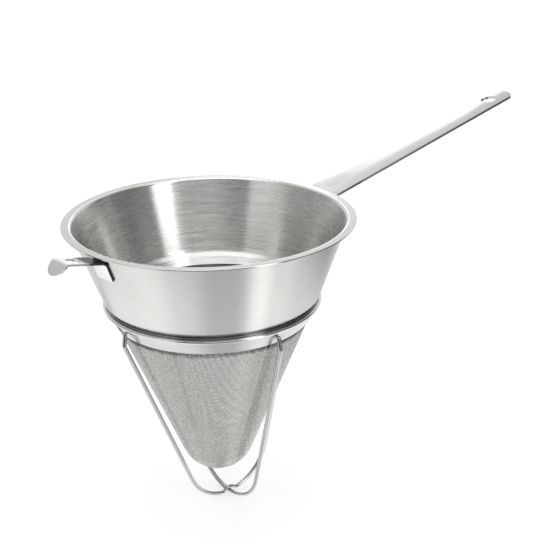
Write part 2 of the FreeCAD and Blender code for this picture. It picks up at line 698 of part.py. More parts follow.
def drill(body, x, z, rise, diameter):
    """Hole through a strap, square to its slope."""
    circle = new_sketch(body, body.Label + "_hole_centre", "XY_Plane")
    turn = "rotation(0deg; -%s * 1deg; 0deg)" % rise
    circle.setExpression("AttachmentOffset", "placement(vector(%s; 0; %s); %s)" % (x, z, turn))
    draw_circle(circle, "0", "0", diameter)
    return pocket_through(body, circle, body.Label + "_hole", "Symmetric")


def edge_on(x=None, side=None, z=None):
    """Test for an edge that lies at the given places; side counts to both sides of the middle."""
    def wanted(edge):
        if side is not None and not is_near(abs(edge.CenterOfMass.y), number(side)):
            return False
        return all(
            (x is None or is_near(end.X, number(x))) and (z is None or is_near(end.Z, number(z)))
            for end in edge.Vertexes
        )
    return wanted


HANDLE_SLOPE = "tan(dims.handle_rise)"
HANDLE_DEPTH = "(dims.handle_thickness / cos(dims.handle_rise))"
HANDLE_TOP = "(-%s - dims.handle_rim_gap)" % SHEET
HANDLE_BASE = "(%s - %s)" % (HANDLE_TOP, HANDLE_DEPTH)
HANDLE_ROOT = "(dims.rim_radius + dims.handle_root)"
HANDLE_END = "(dims.rim_radius + dims.handle_reach)"


def handle_level(x, at_rim):
    """Height at x of a face of the strap that has a given height at the rim's edge."""
    return "(%s + (%s - dims.rim_radius) * %s)" % (at_rim, x, HANDLE_SLOPE)


def handle_section(body, name, x, width, crown=None):
    """Upright section across the strap: a rectangle, or the same bent to a crown."""
    half = "((%s) / 2)" % width
    top = handle_level(x, HANDLE_TOP)
    base = handle_level(x, HANDLE_BASE)
    section = new_sketch(body, name, "YZ_Plane")
    section.setExpression("AttachmentOffset.Base.z", x)
    corners = [(half, top), ("-" + half, top), ("-" + half, base), (half, base)]
    if crown is None:
        draw_polygon(section, corners)
        return section
    right_top, left_top, left_base, right_base = [point(*c) for c in corners]
    lift = Vector(0, number(crown), 0)
    section.addGeometry([
        Part.ArcOfCircle(right_top, (right_top + left_top) * 0.5 + lift, left_top),
        Part.LineSegment(left_top, left_base),
        Part.ArcOfCircle(right_base, (right_base + left_base) * 0.5 + lift, left_base),
        Part.LineSegment(right_base, right_top),
    ])
    section.addConstraint([
        Sketcher.Constraint("Coincident", 0, 2, 1, 1),
        Sketcher.Constraint("Coincident", 1, 2, 2, 2),
        Sketcher.Constraint("Coincident", 2, 1, 3, 1),
        Sketcher.Constraint("Coincident", 3, 2, 0, 1),
    ])
    for geometry, end, corner in ((0, 1, 0), (0, 2, 1), (2, 2, 2), (2, 1, 3)):
        pin(section, geometry, end, *corners[corner])
    for arc in (0, 2):
        bind(section, "Radius", (arc,), "(%s ^ 2 + %s ^ 2) / (2 * %s)" % (half, crown, crown))
    return section


def build_handle():
    backing = "dims.handle_width ^ 2 / (4 * dims.bowl_bottom_radius)"
    outer_line = wall_line("%s + dims.handle_thickness" % CLEAR)
    inner_line = wall_line("%s - %s" % (CLEAR, backing))
    foot = "-dims.handle_tab_depth"
    bend = meet("dims.rim_radius", HANDLE_BASE, HANDLE_SLOPE, *outer_line)
    body = new_body("handle")
    side_view = new_sketch(body, "handle_side_view")
    draw_polygon(side_view, [
        (HANDLE_ROOT, handle_level(HANDLE_ROOT, HANDLE_TOP)),
        (HANDLE_ROOT, handle_level(HANDLE_ROOT, HANDLE_BASE)),
        bend,
        (wall_radius("dims.handle_tab_depth", "%s + dims.handle_thickness" % CLEAR), foot),
        (wall_radius("dims.handle_tab_depth", "%s - %s" % (CLEAR, backing)), foot),
        meet("dims.rim_radius", HANDLE_TOP, HANDLE_SLOPE, *inner_line),
    ])
    pad_across(body, side_view, "dims.handle_width")
    round_edges(body, "dims.handle_bend_radius", edge_on(x=bend[0], z=bend[1]))
    fit_to_wall(body)
    taper = "(dims.handle_width - dims.handle_end_width) / (dims.handle_reach - dims.handle_root)"
    root = handle_section(body, "handle_root_section", HANDLE_ROOT, "dims.handle_width")
    crowned = handle_section(
        body, "handle_crowned_section", "(%s + dims.handle_crown_run)" % HANDLE_ROOT,
        "dims.handle_width - dims.handle_crown_run * %s" % taper, "dims.handle_crown")
    end = handle_section(body, "handle_end_section", HANDLE_END, "dims.handle_end_width", "dims.handle_crown")
    doc.recompute()
    arm = body.newObject("PartDesign::AdditiveLoft", "handle_arm")
    arm.Profile = root
    arm.Sections = [crowned, end]
    arm.Ruled = True
    doc.recompute()
    hole_x = "(%s - dims.handle_hole_inset)" % HANDLE_END
    hole_z = "(%s + dims.handle_crown - %s / 2)" % (handle_level(hole_x, HANDLE_TOP), HANDLE_DEPTH)
    drill(body, hole_x, hole_z, "dims.handle_rise", "dims.handle_hole")
    round_edges(body, "dims.handle_corner_radius", edge_on(x=HANDLE_END, side="dims.handle_end_width / 2"))
    round_tab(body, "dims.handle_width", foot, "dims.handle_tab_corner_radius")
    return body


def round_lip(body, x, low):
    """Trim the lip's blank, beyond x, to a round end whose lowest place is given."""
    radius = "dims.hook_lip_radius"
    middle = "(%s + %s)" % (low, radius)
    under = "(%s - 2 * dims.hook_thickness)" % low
    corners = [("-" + radius, middle), ("-" + radius, under), (radius, under), (radius, middle)]
    left, left_under, right_under, right = [point(*c) for c in corners]
    waste = new_sketch(body, body.Label + "_lip_waste", "YZ_Plane")
    waste.setExpression("AttachmentOffset.Base.z", x)
    waste.addGeometry([
        Part.LineSegment(left, left_under),
        Part.LineSegment(left_under, right_under),
        Part.LineSegment(right_under, right),
        arc_between(point("0", middle), left, right),
    ])
    waste.addConstraint([
        Sketcher.Constraint("Coincident", 0, 2, 1, 1),
        Sketcher.Constraint("Coincident", 1, 2, 2, 1),
        Sketcher.Constraint("Coincident", 2, 2, 3, 2),
        Sketcher.Constraint("Coincident", 3, 1, 0, 1),
    ])
    pin(waste, 1, 1, *corners[1])
    pin(waste, 1, 2, *corners[2])
    pin(waste, 3, 3, "0", middle)
    bind(waste, "Radius", (3,), radius)
    for end in (1, 2):
        bind(waste, "DistanceY", (-1, 1, 3, end), middle)
    return pocket_through(body, waste, body.Label + "_lip", "One side")


def build_hook():
    slope = "tan(dims.hook_rise)"
    half_depth = "(dims.hook_thickness / 2 / cos(dims.hook_rise))"
    backing = "dims.hook_width ^ 2 / (4 * dims.bowl_bottom_radius)"
    root_x = wall_radius("dims.hook_arm_depth")
    top = "(%s - dims.hook_arm_depth)" % half_depth
    base = "(-%s - dims.hook_arm_depth)" % half_depth
    outer_line = wall_line("%s + dims.hook_thickness" % CLEAR)
    inner_line = wall_line("%s - %s" % (CLEAR, backing))
    tip_x = "(%s + dims.hook_reach)" % root_x
    tip_z = "(%s + dims.hook_reach * %s)" % (top, slope)
    lean = "(-tan(dims.hook_lip_lean))"
    lip_outer = "(%s - %s * %s)" % (tip_x, lean, tip_z)
    lip_inner = "(%s - dims.hook_thickness / cos(dims.hook_lip_lean))" % lip_outer
    lip_z = "(%s - dims.hook_lip * cos(dims.hook_lip_lean))" % tip_z
    blank_z = "(%s - dims.hook_thickness)" % lip_z
    foot = "-dims.hook_tab_depth"
    wall_bend = meet(root_x, base, slope, *outer_line)
    tip_bend = meet(root_x, base, slope, lip_inner, lean)
    body = new_body("pot_hook")
    side_view = new_sketch(body, "hook_side_view")
    draw_polygon(side_view, [
        meet(root_x, top, slope, *inner_line),
        (tip_x, tip_z),
        ("%s + %s * %s" % (lip_outer, lean, blank_z), blank_z),
        ("%s + %s * %s" % (lip_inner, lean, blank_z), blank_z),
        tip_bend,
        wall_bend,
        (wall_radius("dims.hook_tab_depth", "%s + dims.hook_thickness" % CLEAR), foot),
        (wall_radius("dims.hook_tab_depth", "%s - %s" % (CLEAR, backing)), foot),
    ])
    pad_across(body, side_view, "dims.hook_width")
    round_edges(body, "dims.hook_bend_radius", edge_on(x=wall_bend[0], z=wall_bend[1]))
    round_edges(body, "dims.hook_tip_bend_radius", edge_on(x=tip_bend[0], z=tip_bend[1]))
    round_edges(body, "dims.hook_tip_bend_radius + dims.hook_thickness", edge_on(x=tip_x, z=tip_z))
    fit_to_wall(body)
    round_lip(body, tip_bend[0], lip_z)
    hole_x = "(%s - dims.hook_hole_inset)" % tip_x
    hole_z = "(%s - dims.hook_hole_inset * %s - %s)" % (tip_z, slope, half_depth)
    drill(body, hole_x, hole_z, "dims.hook_rise", "dims.hook_hole")
    round_tab(body, "dims.hook_width", foot, "dims.hook_corner_radius")
    body.setExpression(
        "Placement", "placement(vector(0; 0; 0); rotation(dims.hook_turn * 1deg; 0deg; 0deg))")
    return body


def write_parts(pieces):
    """Write each piece to its own file once the whole document is sound."""
    doc.recompute()
    for item in doc.Objects:
        if "Invalid" in item.State or "Error" in item.State:
            raise RuntimeError("%s has an error" % item.Label)
    os.makedirs("parts", exist_ok=True)
    for piece in pieces:
        shape = piece.Shape
        if shape.isNull() or not shape.isValid() or not shape.Solids:
            raise RuntimeError("%s has no sound solid" % piece.Label)
        shape.exportStep("parts/%s.step" % piece.Label)


write_parts([
    build_bowl(),
    build_collar(),
    build_mesh_cone(),
    build_seat_ring(),
    build_ring_joint(),
    build_guard_loop("guard_loop_over", "dims.guard_shift", GUARD_DROP, True, OVER_TURN),
    build_guard_loop("guard_loop_under", "0", "(%s / cos(%s))" % (GUARD_DROP, GUARD_TILT), False, UNDER_TURN),
    build_leg_welds(),
    build_handle(),
    build_handle_welds(),
    build_hook(),
    build_hook_welds(),
])
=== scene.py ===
import math
from functools import partial

import bmesh
import bpy
import numpy as np
from mathutils import Matrix, Vector


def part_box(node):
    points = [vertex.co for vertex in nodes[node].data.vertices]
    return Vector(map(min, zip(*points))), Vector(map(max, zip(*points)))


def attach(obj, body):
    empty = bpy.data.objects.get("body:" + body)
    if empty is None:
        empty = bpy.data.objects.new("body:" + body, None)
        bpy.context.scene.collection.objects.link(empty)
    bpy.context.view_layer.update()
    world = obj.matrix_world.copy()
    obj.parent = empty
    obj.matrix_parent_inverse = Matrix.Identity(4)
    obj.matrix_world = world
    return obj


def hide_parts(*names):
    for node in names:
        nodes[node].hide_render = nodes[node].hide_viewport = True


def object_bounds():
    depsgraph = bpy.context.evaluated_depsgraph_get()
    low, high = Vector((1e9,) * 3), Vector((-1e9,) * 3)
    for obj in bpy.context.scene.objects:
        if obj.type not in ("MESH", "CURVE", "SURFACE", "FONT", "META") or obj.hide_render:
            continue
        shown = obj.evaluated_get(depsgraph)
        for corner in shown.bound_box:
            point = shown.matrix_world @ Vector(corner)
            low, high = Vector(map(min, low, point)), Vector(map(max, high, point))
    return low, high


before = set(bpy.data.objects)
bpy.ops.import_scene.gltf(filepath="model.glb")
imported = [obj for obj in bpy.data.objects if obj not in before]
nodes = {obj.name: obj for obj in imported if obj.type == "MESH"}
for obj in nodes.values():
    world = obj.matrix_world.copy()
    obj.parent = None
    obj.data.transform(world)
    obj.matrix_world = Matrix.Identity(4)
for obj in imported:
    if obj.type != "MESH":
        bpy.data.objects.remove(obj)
cad_low, cad_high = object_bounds()

# Lengths are in metres.
BODY = "root"

# Camera
CAMERA_PLACE = Vector((-0.3926, -0.59345, 0.23857))
CAMERA_RIGHT = Vector((0.79543, -0.60606, 0.0))
CAMERA_FORWARD = Vector((0.56226, 0.73796, -0.37320))
CAMERA_ROLL = math.radians(0.82833)
SENSOR_WIDTH = 36.0
IMAGE_SIDE = 560
FOCAL_PIXELS = 1100.0

# Sieve cloth
CONE_HALF_ANGLE = math.radians(22.0)
CLOTH_THICKNESS = 0.0006
CLOTH_PITCH = 0.00072
WIRE_DIAMETER = 0.00033
WIRE_SIDES = 3
CLOTH_PARTS = 3
SEAM_AZIMUTH = math.radians(267.0)
SEAM_LAP = 0.0024
LAP_FADE = 0.05
# Slant length from the apex below which the cloth is drawn in to the round tip.
DRAWN_SLANT = 0.110
TIP_HOLE_SLANT = 0.006
# Flat angles, in radians: below the first the plane's far side is meant, within the second the seam laps.
FAR_SIDE_ANGLE = -1.0
LAP_ANGLE = 0.5
# Least stretch, in pitches, between a wire's end and its first crossing.
END_GAP = 0.25

# Pot hook: a strap bent along a side view of distances from the axis and heights, foot of the tab first.
HOOK_AZIMUTH = math.radians(187.0)
HOOK_SIDE_VIEW = [(0.088165, -0.0202), (0.09306, -0.006425), (0.12021, 0.000345), (0.12759, -0.0064)]
HOOK_BENDS = (0.00365, 0.0012)
BEND_STEPS = 8
HOOK_WIDTH = 0.016
HOOK_SHEET = 0.0013
HOOK_CORNER = 0.0015
HOOK_HOLE_RADIUS = 0.0048
HOOK_HOLE_INSET = 0.0088
HOOK_WALL_RADIUS = 0.090
EDGE_ROUND = 0.00018
EDGE_STEPS = 2
EDGE_ANGLE = math.radians(50.0)
CORNER_STEPS = 6
LIP_STEPS = 40
HOLE_STEPS = 48


def make_camera():
    lens = FOCAL_PIXELS * SENSOR_WIDTH / IMAGE_SIDE
    data = bpy.data.cameras.new("camera")
    data.sensor_width = SENSOR_WIDTH
    data.lens = lens
    camera = bpy.data.objects.new("camera", data)
    bpy.context.scene.collection.objects.link(camera)
    forward = CAMERA_FORWARD.normalized()
    right = CAMERA_RIGHT.normalized()
    up = right.cross(forward).normalized()
    roll = Matrix.Rotation(CAMERA_ROLL, 3, forward)
    right = roll @ right
    up = roll @ up
    turn = Matrix((right, up, -forward)).transposed()
    camera.matrix_world = Matrix.Translation(CAMERA_PLACE) @ turn.to_4x4()
    bpy.context.scene.camera = camera


class Tree:
    """Short hand for building a node tree."""

    def __init__(self, tree):
        self.tree = tree
        tree.nodes.clear()

    def node(self, kind, inputs=(), **settings):
        """New node with its settings, and inputs that are values or other nodes' outputs."""
        node = self.tree.nodes.new(kind)
        for name, value in settings.items():
            setattr(node, name, value)
        for name, value in dict(inputs).items():
            self.set(node.inputs[name], value)
        return node

    def set(self, socket, value):
        if isinstance(value, bpy.types.NodeSocket):
            self.tree.links.new(value, socket)
        else:
            socket.default_value = value

    def math(self, operation, *values):
        node = self.tree.nodes.new("ShaderNodeMath")
        node.operation = operation
        for socket, value in zip(node.inputs, values):
            self.set(socket, value)
        return node.outputs[0]

    def vector(self, operation, *values):
        node = self.node("ShaderNodeVectorMath", operation=operation)
        for socket, value in zip(node.inputs, values):
            self.set(socket, value)
        return node.outputs["Value" if operation in ("DOT_PRODUCT", "LENGTH") else "Vector"]

    def place(self):
        return self.node("ShaderNodeTexCoord").outputs["Object"]

    def normal(self):
        return self.node("ShaderNodeNewGeometry").outputs["Normal"]

    def leaned(self, lean):
        """Normal, leaned by a vector."""
        return self.vector("NORMALIZE", self.vector("ADD", self.normal(), lean))

    def split(self, vector):
        return self.node("ShaderNodeSeparateXYZ", {"Vector": vector}).outputs

    def combine(self, x, y, z):
        return self.node("ShaderNodeCombineXYZ", {"X": x, "Y": y, "Z": z}).outputs[0]

    def noise(self, vector, scale, detail=2.0, roughness=0.5):
        inputs = {"Vector": vector, "Scale": scale, "Detail": detail, "Roughness": roughness}
        return self.node("ShaderNodeTexNoise", inputs).outputs["Fac"]

    def remap(self, value, low, high, from_low=0.0, from_high=1.0):
        source = {"Value": value, "From Min": from_low, "From Max": from_high}
        target = {"To Min": low, "To Max": high}
        return self.node("ShaderNodeMapRange", {**source, **target}).outputs["Result"]

    def ramp(self, factor, stops):
        node = self.node("ShaderNodeValToRGB", {"Fac": factor})
        points = node.color_ramp.elements
        while len(points) < len(stops):
            points.new(1.0)
        for point, (position, colour) in zip(points, stops):
            point.position = position
            point.color = (*colour, 1.0)
        return node.outputs["Color"]

    def mix(self, factor, first, second):
        inputs = {"Factor": factor, "A": first, "B": second}
        node = self.node("ShaderNodeMix", data_type="RGBA")
        for name, value in inputs.items():
            socket = [s for s in node.inputs if s.name == name and s.enabled][0]
            self.set(socket, value)
        return [s for s in node.outputs if s.enabled][0]


def grey(level):
    return (level, level, level)


# Studio as metal sees it: brightness by azimuth in degrees, under the horizon, over it and higher up.
STUDIO_UNDER = [
    (-180, 0.75), (-168, 0.45), (-160, 0.08), (-92, 0.08), (-87, 1.2), (-73, 1.2), (-70, 0.05), (-60, 0.05),
    (-56, 0.35), (-44, 0.35), (-40, 0.05), (-14, 0.06), (4, 0.35), (20, 0.70), (50, 0.90), (104, 0.88),
    (130, 0.88), (180, 0.75),
]
STUDIO_LOW = [
    (-180, 0.98), (-163, 0.94), (-161, 0.20), (-146, 0.24), (-128, 0.46), (-91, 0.48), (-87, 2.6),
    (-73, 2.6), (-71, 0.23), (-36, 0.20), (-30, 0.11), (-27, 0.40), (-20, 0.40), (-16, 0.09), (-10, 0.14),
    (-4, 0.38), (6, 0.92), (40, 0.85), (46, 0.95), (49, 1.55), (57, 1.55), (61, 0.85), (100, 0.85),
    (116, 0.44), (150, 0.40), (165, 0.55), (180, 0.98),
]
STUDIO_HIGH = [
    (-180, 0.72), (-163, 0.70), (-161, 0.28), (-125, 0.44), (-91, 0.46), (-87, 2.6), (-73, 2.6),
    (-70, 0.25), (-14, 0.25), (10, 0.60), (35, 0.70), (45, 0.80), (56, 0.90), (100, 0.90),
    (112, 0.66), (180, 0.72),
]
HORIZON = (-0.12, -0.04)
BACKDROP_TOP = (0.50, 0.56)
OVERHEAD = (0.85, 0.92)
OVERHEAD_LEVEL = 1.85

# Floor round the object as metal sees it, by azimuth, and how far the white floor reaches.
FLOOR_RING = [
    (-180, 1.38), (-150, 1.24), (-125, 0.82), (-100, 0.80), (-72, 1.50), (-57, 1.50), (-42, 1.34),
    (-20, 1.36), (20, 1.28), (32, 0.12), (98, 0.12), (108, 1.28), (180, 1.38),
]
FLOOR_REACH = (0.27, 0.36)
FLOOR_SIDE = 8.0
FLOOR_SHADOW = 0.50
FLOOR_GLOW = 0.58


def azimuth_ramp(tree, vector, stops):
    """Level by azimuth round the Z axis."""
    part = tree.split(vector)
    azimuth = tree.math("ARCTAN2", part["Y"], part["X"])
    turn = tree.remap(azimuth, 0.0, 1.0, -math.pi, math.pi)
    return tree.ramp(turn, [((a + 180) / 360, grey(level)) for a, level in stops])


def make_world():
    world = bpy.data.worlds.new("studio")
    bpy.context.scene.world = world
    world.use_nodes = True
    tree = Tree(world.node_tree)
    direction = tree.node("ShaderNodeTexCoord").outputs["Generated"]
    height = tree.split(direction)["Z"]
    under = azimuth_ramp(tree, direction, STUDIO_UNDER)
    low = azimuth_ramp(tree, direction, STUDIO_LOW)
    low = tree.mix(tree.remap(height, 0.0, 1.0, *HORIZON), under, low)
    high = azimuth_ramp(tree, direction, STUDIO_HIGH)
    walls = tree.mix(tree.remap(height, 0.0, 1.0, *BACKDROP_TOP), low, high)
    sky = tree.mix(tree.remap(height, 0.0, 1.0, *OVERHEAD), walls, (*grey(OVERHEAD_LEVEL), 1.0))
    path = tree.node("ShaderNodeLightPath").outputs
    seen = tree.mix(path["Is Glossy Ray"], (1.0, 1.0, 1.0, 1.0), sky)
    background = tree.node("ShaderNodeBackground", {"Color": seen, "Strength": 1.0})
    tree.node("ShaderNodeOutputWorld", {"Surface": background.outputs[0]})


def make_floor():
    half = FLOOR_SIDE / 2
    mesh = bpy.data.meshes.new("floor")
    corners = [(-half, -half, 0), (half, -half, 0), (half, half, 0), (-half, half, 0)]
    mesh.from_pydata(corners, [], [(0, 1, 2, 3)])
    floor = bpy.data.objects.new("floor", mesh)
    floor.location.z = cad_low.z
    bpy.context.scene.collection.objects.link(floor)
    material = bpy.data.materials.new("floor")
    material.use_nodes = True
    tree = Tree(material.node_tree)
    path = tree.node("ShaderNodeLightPath").outputs
    place = tree.place()
    glossy = path["Is Glossy Ray"]
    colour = tree.mix(glossy, (*grey(FLOOR_GLOW), 1.0), azimuth_ramp(tree, place, FLOOR_RING))
    glow = tree.node("ShaderNodeEmission", {"Color": colour, "Strength": 1.0})
    shade = tree.math("MULTIPLY", tree.math("SUBTRACT", 1.0, glossy), FLOOR_SHADOW)
    matt = tree.node("ShaderNodeBsdfDiffuse", {"Color": shade})
    white = tree.node("ShaderNodeAddShader")
    tree.set(white.inputs[0], glow.outputs[0])
    tree.set(white.inputs[1], matt.outputs[0])
    distance = tree.vector("LENGTH", place)
    beyond = tree.math("MULTIPLY", glossy, tree.remap(distance, 0.0, 1.0, *FLOOR_REACH))
    clear = tree.node("ShaderNodeBsdfTransparent")
    both = tree.node("ShaderNodeMixShader", {"Fac": beyond})
    tree.set(both.inputs[1], white.outputs[0])
    tree.set(both.inputs[2], clear.outputs[0])
    tree.node("ShaderNodeOutputMaterial", {"Surface": both.outputs[0]})
    mesh.materials.append(material)


# Bowl's finish: share of the inside's brushing that shows outside, lean of the rim's top and of the
# shoulder's face, and the heights between which the shoulder rolls into the wall.
OUTSIDE_BRUSHING = 0.3
RIM_FALL = 0.14
RIM_TOP = (-0.0022, -0.0004)
SHOULDER_RISE = 0.55
SHOULDER_ROLL = (-0.0545, -0.0495)
# Handle's crown near the bowl: sideways lean of its face for each metre off its middle, and where it ends.
ROOT_CROWN = 10.0
ROOT_CLIMB = 0.05
ROOT_RUN = (0.104, 0.126)
# Sideways lean of the handle's face from its root to its hole, and what is taken off again towards its end.
HANDLE_TWIST = (0.06, 0.10)
HANDLE_RUN = (0.11, 0.245)
END_TWIST = (0.0, 0.09)
END_RUN = (0.245, 0.275)
# Painted shade on the cloth's edge just under the collar, partly the darker folded double hem: its height,
# its unevenness, and the shares of the height between which it fades.
SHADED_HEM_DEPTH = 0.0040
SHADED_HEM_NOISE = 260.0
SHADED_HEM_FADE = (1.3, 0.6)
SHADED_HEM_COLOUR = (0.16, 0.155, 0.15)
# Painted shade and painted dark reflection on the hook's arm and edges near the bowl: how far from the axis
# it reaches, the length over which it fades, its unevenness, and how far outward a face may look and still
# be dark.
HOOK_SHADE_REACH = 0.1070
HOOK_SHADE_FADE = 0.003
HOOK_SHADE_NOISE = 500.0
HOOK_SHADE_FACING = (0.4, 0.7)
HOOK_SHADE_COLOUR = (0.10, 0.098, 0.095)
# Grain of all steels, and the bowl's two kinds of brush marks as scales round it and across it.
GRAIN_DETAIL = 2.0
GRAIN_ROUGHNESS = 0.6
GRAIN_SPREAD = (0.32, 0.68)
COARSE_MARKS = (3.0, 900.0)
FINE_MARKS = (9.0, 2400.0)
FINE_SHARE = 0.45
FACING_BLEND = (-0.2, 0.2)
ROUGHNESS_SPREAD = (0.85, 1.15)
# Quarter turn that lays the highlights across brush marks round the axis.
ROUND_THE_AXIS = 0.25
# Dull clouds on all steels, and how much of them a polished stretch loses.
CLOUD_SCALE = 45.0
CLOUD_SPREAD = (0.40, 0.75)
CLOUD_SHARE = 0.10
CLOUD_COLOUR = (0.55, 0.54, 0.52, 1.0)
POLISH_SHARE = 0.7
RIM_ROUGHNESS = 0.11


def turned_grain(tree, round_scale, line_scale):
    """Noise drawn out round the Z axis, as a lathe or a buffing wheel leaves it."""
    place = tree.place()
    part = tree.split(place)
    square = tree.math("ADD", tree.math("POWER", part["X"], 2.0), tree.math("POWER", part["Y"], 2.0))
    radius = tree.math("SQRT", square)
    east = tree.math("DIVIDE", part["X"], radius)
    north = tree.math("DIVIDE", part["Y"], radius)
    along = tree.math("ADD", radius, part["Z"])
    vector = tree.combine(
        tree.math("MULTIPLY", east, round_scale),
        tree.math("MULTIPLY", north, round_scale),
        tree.math("MULTIPLY", along, line_scale))
    return tree.noise(vector, 1.0, GRAIN_DETAIL, GRAIN_ROUGHNESS)


def straight_grain(tree, along_scale, line_scale):
    """Noise drawn out along X, as a belt leaves it on a strap."""
    place = tree.place()
    scale = (along_scale, line_scale, line_scale)
    mapping = tree.node("ShaderNodeMapping", {"Vector": place, "Scale": scale})
    return tree.noise(mapping.outputs[0], 1.0, GRAIN_DETAIL, GRAIN_ROUGHNESS)


def axis_parts(tree):
    """Place's unit vector away from the Z axis, as x and y, and its height."""
    place = tree.place()
    part = tree.split(place)
    flat = tree.combine(part["X"], part["Y"], 0.0)
    away = tree.vector("NORMALIZE", flat)
    return away, part["Z"]


def inside_mask(tree):
    """1 where a turned surface faces the Z axis, 0 where it faces away."""
    away = axis_parts(tree)[0]
    facing = tree.vector("DOT_PRODUCT", tree.normal(), away)
    return tree.remap(facing, 1.0, 0.0, *FACING_BLEND)


def bowl_grain(tree):
    """Long coarse brush marks with finer, shorter ones among them, fainter outside the bowl."""
    coarse = turned_grain(tree, *COARSE_MARKS)
    fine = turned_grain(tree, *FINE_MARKS)
    marks = tree.math("MULTIPLY_ADD", fine, FINE_SHARE, tree.math("MULTIPLY", coarse, 1.0 - FINE_SHARE))
    depth = tree.remap(inside_mask(tree), OUTSIDE_BRUSHING, 1.0)
    return tree.math("MULTIPLY_ADD", tree.math("SUBTRACT", marks, 0.5), depth, 0.5)


def rim_mask(tree):
    """1 on the polished rim, 0 on the brushed wall."""
    height = axis_parts(tree)[1]
    return tree.remap(height, 0.0, 1.0, *RIM_TOP)


def bowl_roll(tree):
    """Normal with the rim's fall to its edge, and the shoulder rounded into wall and neck."""
    away, height = axis_parts(tree)
    rim = tree.math("MULTIPLY", rim_mask(tree), RIM_FALL)
    shoulder = tree.math("MULTIPLY", tree.remap(height, 1.0, 0.0, *SHOULDER_ROLL), inside_mask(tree))
    outward = tree.node("ShaderNodeVectorMath", {0: away, "Scale": rim}, operation="SCALE").outputs[0]
    upward = tree.combine(0.0, 0.0, tree.math("MULTIPLY", shoulder, SHOULDER_RISE))
    return tree.leaned(tree.vector("ADD", outward, upward))


def handle_roll(tree):
    """Normal with the strap's crown carried on over its flat root, and a sideways lean along the strap."""
    place = tree.place()
    part = tree.split(place)
    root = tree.remap(part["X"], ROOT_CROWN, 0.0, *ROOT_RUN)
    start, stop = ROOT_RUN
    beyond = tree.math("GREATER_THAN", part["X"], start)
    before = tree.math("LESS_THAN", part["X"], stop)
    ahead = tree.math("MULTIPLY", tree.math("MULTIPLY", beyond, before), ROOT_CLIMB)
    lean = tree.remap(part["X"], *HANDLE_TWIST, *HANDLE_RUN)
    twist = tree.math("SUBTRACT", lean, tree.remap(part["X"], *END_TWIST, *END_RUN))
    sideways = tree.math("MULTIPLY_ADD", part["Y"], root, twist)
    return tree.leaned(tree.combine(ahead, sideways, 0.0))


def shaded_hem_mask(tree):
    """1 on the cloth's edge just under the collar: painted shade there, partly the darker folded double
    hem.
    """
    place = tree.place()
    height = tree.split(place)["Z"]
    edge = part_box("mesh_collar")[0].z
    uneven = tree.remap(tree.noise(place, SHADED_HEM_NOISE), -SHADED_HEM_DEPTH / 2, SHADED_HEM_DEPTH / 2)
    fade = [edge - SHADED_HEM_DEPTH * share for share in SHADED_HEM_FADE]
    return tree.remap(tree.math("ADD", height, uneven), 0.0, 1.0, *fade)


def hook_shade_mask(tree):
    """1 on the hook's arm and edges close to the bowl, which are dark in the photo: painted shade and
    painted dark reflection there.
    """
    away = axis_parts(tree)[0]
    place = tree.place()
    radius = tree.vector("DOT_PRODUCT", place, away)
    facing = tree.vector("DOT_PRODUCT", tree.normal(), away)
    uneven = tree.remap(tree.noise(place, HOOK_SHADE_NOISE), -HOOK_SHADE_FADE / 4, HOOK_SHADE_FADE / 4)
    near = tree.remap(tree.math("ADD", radius, uneven), 1.0, 0.0, HOOK_SHADE_REACH - HOOK_SHADE_FADE, HOOK_SHADE_REACH)
    return tree.math("MULTIPLY", near, tree.remap(facing, 1.0, 0.0, *HOOK_SHADE_FACING))


def make_steel(name, colour, roughness, grain, contrast=0.1, bump=0.0, anisotropy=0.0, rotation=0.0,
               polish=None, painted_shade=None, roll=None):
    """Bare steel whose grain drives its colour, roughness and relief.

    polish is a mask and the roughness where it is 1, painted_shade a mask and the colour of the painted
    shade where it is 1, and roll gives the normal that the relief starts from.
    """
    material = bpy.data.materials.new(name)
    material.use_nodes = True
    tree = Tree(material.node_tree)
    lines = grain(tree)
    place = tree.place()
    clouds = tree.noise(place, CLOUD_SCALE, GRAIN_DETAIL)
    dark = tuple(c * (1.0 - contrast) for c in colour)
    light = tuple(min(1.0, c * (1.0 + contrast)) for c in colour)
    grained = tree.ramp(lines, list(zip(GRAIN_SPREAD, (dark, light))))
    dulled = tree.remap(clouds, 0.0, CLOUD_SHARE, *CLOUD_SPREAD)
    clouded_and_shaded = tree.mix(dulled, grained, CLOUD_COLOUR)
    # Painted shade: a darker colour laid over the steel where its mask is 1.
    if painted_shade:
        clouded_and_shaded = tree.mix(painted_shade[0](tree), clouded_and_shaded, (*painted_shade[1], 1.0))
    spread = [roughness * share for share in ROUGHNESS_SPREAD]
    rough = tree.remap(lines, *spread, *GRAIN_SPREAD)
    if polish:
        mask = polish[0](tree)
        plain = tree.mix(mask, clouded_and_shaded, (*colour, 1.0))
        clouded_and_shaded = tree.mix(POLISH_SHARE, clouded_and_shaded, plain)
        smooth = tree.math("MULTIPLY", mask, polish[1])
        rough = tree.math("MULTIPLY_ADD", rough, tree.math("SUBTRACT", 1.0, mask), smooth)
    relief = tree.node("ShaderNodeBump", {"Height": lines, "Strength": 1.0, "Distance": bump})
    if roll:
        tree.set(relief.inputs["Normal"], roll(tree))
    shader = tree.node("ShaderNodeBsdfPrincipled", {
        "Base Color": clouded_and_shaded,
        "Metallic": 1.0,
        "Roughness": rough,
        "Normal": relief.outputs[0],
        "Anisotropic": anisotropy,
        "Anisotropic Rotation": rotation,
    })
    if anisotropy:
        tangent = tree.node("ShaderNodeTangent", direction_type="RADIAL", axis="Z")
        tree.set(shader.inputs["Tangent"], tangent.outputs[0])
    tree.node("ShaderNodeOutputMaterial", {"Surface": shader.outputs[0]})
    return material


